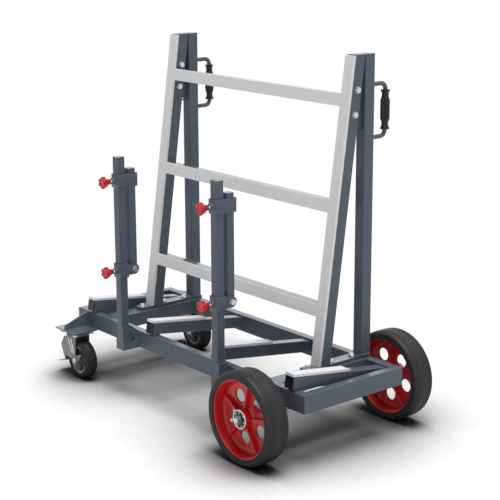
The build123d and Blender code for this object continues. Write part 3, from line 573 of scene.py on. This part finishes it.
def star_knob(side, level):
    """Lobed knob with a dished front and a waisted neck, and its threaded stud"""
    node = f"{side}_{level}_knob"
    low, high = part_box(node)
    place = axis_matrix(((low.x + high.x) / 2, low.y, (low.z + high.z) / 2), (0, 1, 0))
    rings = [(along, radius, knob_lobe_height * share) for along, radius, share in knob_rings]
    bm = bmesh.new()
    turned(bm, rings, place, lobes=knob_lobes)
    body = f"{side}_{level}_screw"
    piece = show(node + "_skin", mesh_from(bm, node + "_skin"), knob_plastic, body,
                 angle=knob_smooth_angle)
    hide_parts(node)
    length = high.y - low.y
    thread = [(stud_root, thread_crest)]
    along = thread_start
    while along < length - thread_run_out:
        thread += [(along, thread_crest), (along + thread_pitch / 2, thread_valley)]
        along += thread_pitch
    thread += [(length - inset, radius) for inset, radius in stud_tip]
    bm = bmesh.new()
    turned(bm, thread, place, segments=32)
    show(node + "_stud", mesh_from(bm, node + "_stud"), zinc, body)


def grip_mouldings():
    """Ribbed grips with flared ends, one on each handle"""
    low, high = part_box("grips")
    radius = (high.y - low.y) / 2
    half = (high.z - low.z) / 2
    middle_y = (high.y + low.y) / 2
    middle_z = (high.z + low.z) / 2
    profile = grip_end + [(half, *grip_waist)]
    rings = [(along - half, radius * share, grip_rib_height * raised)
             for along, share, raised in profile]
    rings += [(-along, reach, lobe) for along, reach, lobe in reversed(rings[:-1])]
    bm = bmesh.new()
    for x in (low.x + radius, high.x - radius):
        place = Matrix.Translation((x, middle_y, middle_z))
        turned(bm, rings, place, segments=108, lobes=grip_ribs)
    piece = show("grip_skins", mesh_from(bm, "grip_skins"), grip_plastic, "chassis",
                 angle=grip_smooth_angle)
    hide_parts("grips")


def weld(bm, start, end):
    """Adds a rippled bead along a straight seam"""
    start, end = Vector(start), Vector(end)
    length = (end - start).length
    place = axis_matrix(start, end - start)
    steps = max(weld_ripples_least, int(length / weld_ripple)) * weld_steps
    rings = []
    for index in range(steps + 1):
        phase = (index % weld_steps) / weld_steps
        swell = 1 - weld_swell + weld_swell * math.sin(math.pi * phase)
        rings.append((length * index / steps, weld_radius * swell))
    turned(bm, rings, place, segments=10)


def weld_seams():
    """Beads where the tubes of the base meet, at the struts' feet and under the gusset plates"""
    bm = bmesh.new()
    inner_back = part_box("back_rail")[0].y
    inner_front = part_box("front_rail")[1].y
    seams = []
    low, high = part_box("cross_members")
    for x in (low.x, low.x + cross_member_width, high.x - cross_member_width, high.x):
        for y in (inner_front, inner_back):
            seams.append(((x, y, low.z + weld_inset), (x, y, high.z - weld_inset)))
    for index in range(1, support_arms + 1):
        low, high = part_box(f"support_arm_{index}")
        for x in (low.x, high.x):
            foot, top = low.z + arm_weld_inset, low.z + arm_weld_top
            seams.append(((x, inner_back, foot), (x, inner_back, top)))
    for name in ("left", "right"):
        low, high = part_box(name + "_strut")
        for x in (low.x, high.x):
            seams.append(((x, low.y + weld_inset, low.z), (x, high.y - weld_inset, low.z)))
        seams.append(((low.x + weld_inset, low.y, low.z), (high.x - weld_inset, low.y, low.z)))
    low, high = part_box("gusset_plates")
    for x in (low.x, high.x):
        seams.append(((x, low.y + weld_inset, low.z), (x, high.y - weld_inset, low.z)))
    for start, end in seams:
        weld(bm, start, end)
    show("base_welds", mesh_from(bm, "base_welds"), paint, "chassis")


def stage_and_light():
    """Pale floor with painted shade that darkens it near the object, white surroundings, and a soft key
    and fill light
    """
    bm = bmesh.new()
    for x, y in ((-1, -1), (1, -1), (1, 1), (-1, 1)):
        bm.verts.new((x * floor_reach, y * floor_reach, 0))
    bm.faces.new(bm.verts)
    mesh = bpy.data.meshes.new("floor")
    bm.to_mesh(mesh)
    bm.free()
    floor = bpy.data.objects.new("floor", mesh)
    bpy.context.scene.collection.objects.link(floor)
    mat = bpy.data.materials.new("floor_white")
    mat.use_nodes = True
    shader = mat.node_tree.nodes["Principled BSDF"]
    # Painted shade: an ambient occlusion factor darkens the floor's colour near the object
    painted_shade = add_node(mat, "ShaderNodeAmbientOcclusion", Distance=painted_shade_reach)
    depth = mat.node_tree.nodes.new("ShaderNodeMath")
    depth.operation = "POWER"
    depth.inputs[1].default_value = painted_shade_depth
    level = add_node(mat, "ShaderNodeMapRange")
    level.inputs["From Max"].default_value = painted_shade_open
    level.inputs["To Max"].default_value = floor_white
    mat.node_tree.links.new(painted_shade.outputs["AO"], depth.inputs[0])
    mat.node_tree.links.new(depth.outputs["Value"], level.inputs["Value"])
    mat.node_tree.links.new(level.outputs["Result"], shader.inputs["Base Color"])
    shader.inputs["Roughness"].default_value = floor_roughness
    shader.inputs["Specular IOR Level"].default_value = floor_gloss
    mesh.materials.append(mat)

    world = bpy.data.worlds.new("studio")
    bpy.context.scene.world = world
    world.use_nodes = True
    nodes = world.node_tree.nodes
    link = world.node_tree.links.new
    background = nodes["Background"]
    background.inputs["Color"].default_value = (1, 1, 1, 1)
    path = nodes.new("ShaderNodeLightPath")
    seen = nodes.new("ShaderNodeMath")
    seen.operation = "MAXIMUM"
    link(path.outputs["Is Camera Ray"], seen.inputs[0])
    link(path.outputs["Is Glossy Ray"], seen.inputs[1])
    also = nodes.new("ShaderNodeMath")
    also.operation = "MAXIMUM"
    link(seen.outputs["Value"], also.inputs[0])
    link(path.outputs["Is Transmission Ray"], also.inputs[1])
    level = nodes.new("ShaderNodeMapRange")
    level.inputs["To Min"].default_value = sky_strength
    level.inputs["To Max"].default_value = 1.0
    link(also.outputs["Value"], level.inputs["Value"])
    link(level.outputs["Result"], background.inputs["Strength"])

    lamps = (
        ("key", key_strength, key_softness, key_direction),
        ("fill", fill_strength, fill_softness, fill_direction),
    )
    for name, strength, softness, direction in lamps:
        light = bpy.data.lights.new(name, "SUN")
        light.energy = strength
        light.angle = math.radians(softness)
        lamp = bpy.data.objects.new(name, light)
        bpy.context.scene.collection.objects.link(lamp)
        lamp.rotation_euler = Vector(direction).to_track_quat("Z", "Y").to_euler()


def place_camera():
    """Camera at the photograph's place"""
    data = bpy.data.cameras.new("camera")
    data.lens = camera_focal
    data.sensor_width = sensor_width
    camera = bpy.data.objects.new("camera", data)
    bpy.context.scene.collection.objects.link(camera)
    turn = Matrix.Rotation(math.radians(camera_heading), 4, "Z")
    tilt = Matrix.Rotation(math.radians(90 - camera_pitch), 4, "X")
    roll = Matrix.Rotation(math.radians(camera_roll), 4, "Z")
    camera.matrix_world = Matrix.Translation(camera_place) @ turn @ tilt @ roll
    bpy.context.scene.camera = camera


paint = finish_material(
    "slate_paint", paint_colour, 0.42, spread=0.03, patch=9.0, grain=900.0, depth=0.00006,
    coat_roughness=0.16, worn=0.05, level=0.3, glare=3.5)
facing_rubber = finish_material(
    "facing_rubber", facing_colour, 0.66, spread=0.010, patch=26.0, grain=1500.0, depth=0.00005,
    level=0.4)
cap_plastic = finish_material("cap_plastic", cap_colour, 0.34, spread=0.10, depth=0.00006, level=0.4)
grip_plastic = finish_material("grip_plastic", grip_colour, 0.26, spread=0.10, depth=0.00004, level=0.4)
zinc = finish_material(
    "zinc", zinc_colour, 0.27, metallic=1.0, spread=0.07, patch=120.0, depth=0.00005, worn=0.09)
caster_zinc = finish_material(
    "caster_zinc", shaded(zinc_colour, caster_zinc_share), 0.42, metallic=0.60, spread=0.10,
    patch=90.0, depth=0.00006, worn=0.10)
tyre_rubber = finish_material(
    "tyre_rubber", tyre_colour, 0.50, spread=0.08, patch=22.0, grain=1100.0, depth=0.00010, level=0.3)
rim_paint = finish_material(
    "rim_paint", rim_colour, 0.34, spread=0.04, patch=18.0, depth=0.00004, coat=0.30,
    coat_roughness=0.10, level=0.3)
knob_plastic = finish_material("knob_plastic", knob_colour, 0.34, spread=0.04, depth=0.00004)
core_plastic = finish_material("core_plastic", core_colour, 0.46, spread=0.08)
core_ring = finish_material("core_ring", core_ring_colour, 0.42, spread=0.06)
caster_rubber = finish_material(
    "caster_rubber", tread_colour, 0.55, spread=0.08, depth=0.00010, level=0.3)
seal_rubber = finish_material("seal_rubber", seal_colour, 0.50, spread=0.10)

node_materials = {
    "frame_paint": paint,
    "facing_rubber": facing_rubber,
    "cap_plastic": cap_plastic,
    "grip_plastic": grip_plastic,
    "zinc_steel": zinc,
    "tyre_rubber": tyre_rubber,
    "rim_red": rim_paint,
    "knob_red": knob_plastic,
    "caster_core": core_plastic,
    "caster_tread_rubber": caster_rubber,
}
slots = {entry["node"]: entry["material_slot"] for entry in frame["record"]["subparts"]}
for node, shown in frame["nodes"].items():
    mat = node_materials[slots[node]]
    for slot in shown.material_slots:
        slot.material = mat

for name, side in (("front", -1), ("back", 1)):
    large_tyre(name)
    large_rim(name)
    grease_fitting(name, side)
    caster_wheel(name)
    caster_fork_ribs(name)
    softened(name + "_caster_fork", edge_widths["caster_fork"], caster_zinc, segments=3)
    softened(name + "_caster_axle", edge_widths["caster_axle"], zinc)
    softened(name + "_brake_pedal", edge_widths["brake_pedal"], caster_zinc)
for side in ("left", "right"):
    for level in ("upper", "lower"):
        star_knob(side, level)
        softened(f"{side}_{level}_collar", edge_widths["collar"], paint)
    softened(side + "_pivot_bolt", edge_widths["pivot_bolt"], zinc)
for node, mat, slot in (
    ("frame_bolts", zinc, "zinc_steel"),
    ("axle_nuts", caster_zinc, "zinc_steel"),
    ("caster_brackets", paint, "frame_paint"),
    ("caster_top_plates", caster_zinc, "zinc_steel"),
    ("post_foot_plates", paint, "frame_paint"),
    ("gusset_plates", paint, "frame_paint"),
    ("top_caps", paint, "frame_paint"),
    ("foot_bars", paint, "frame_paint"),
):
    softened(node, edge_widths[node], mat)
grip_mouldings()
weld_seams()
stage_and_light()
place_camera()

bpy.context.scene.view_settings.view_transform = "Standard"
